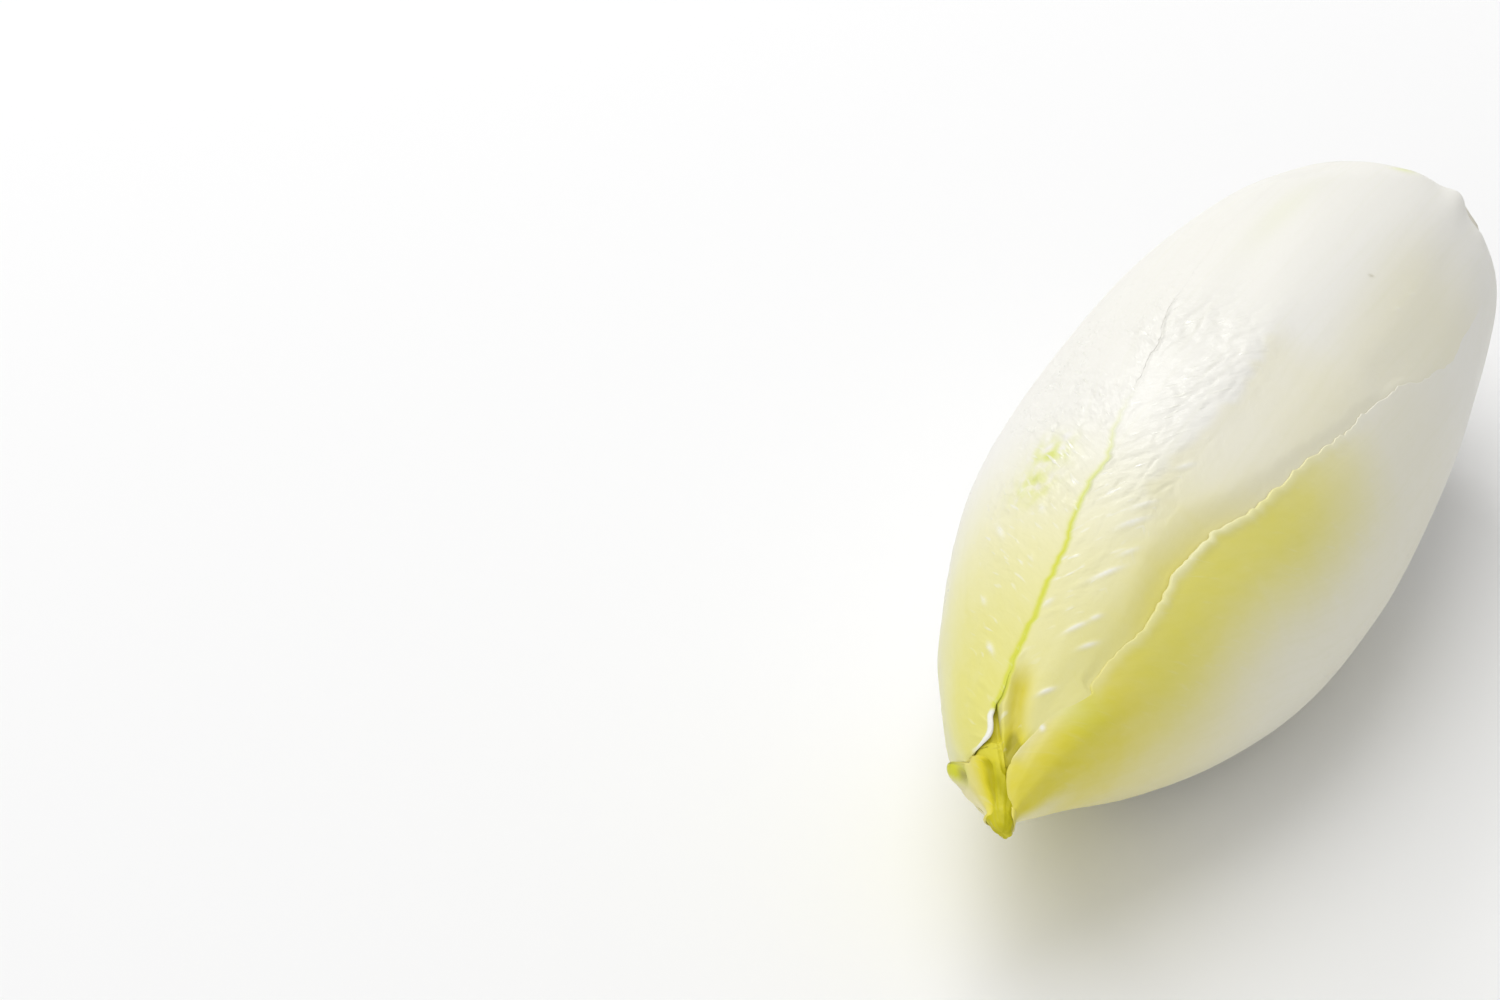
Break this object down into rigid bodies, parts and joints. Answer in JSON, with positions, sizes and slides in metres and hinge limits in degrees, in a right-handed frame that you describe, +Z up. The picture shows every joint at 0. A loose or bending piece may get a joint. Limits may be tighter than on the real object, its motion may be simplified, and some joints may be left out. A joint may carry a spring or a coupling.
{
  "type": "belgian endive",
  "caption": "Head of belgian endive lying on its side: white leaves with yellow margins wrapped round a hidden heart, a trimmed stem end and a pointed, slightly open tip.",
  "frame": {"origin": "on the surface that the head lies on, under the middle of its bounding box", "axes": "+X along the head from the cut base to the tip, +Z up"},
  "size_m": [0.152, 0.0576, 0.0531],
  "materials": {
    "stem": "moist, slightly dried cut flesh",
    "outer_leaf": "waxy satin, white ribs and pale yellow blades",
    "inner_leaf": "waxy satin, yellow-green",
    "heart": "waxy satin, pale yellow"
  },
  "bodies": {
    "root": {"stem": "stem", "outer_leaf_right": "outer_leaf", "outer_leaf_left": "outer_leaf", "upper_leaf": "outer_leaf", "lower_leaf": "inner_leaf", "inner_leaf_left": "inner_leaf", "inner_leaf_right": "inner_leaf", "heart": "heart"}
  },
  "joints": []
}
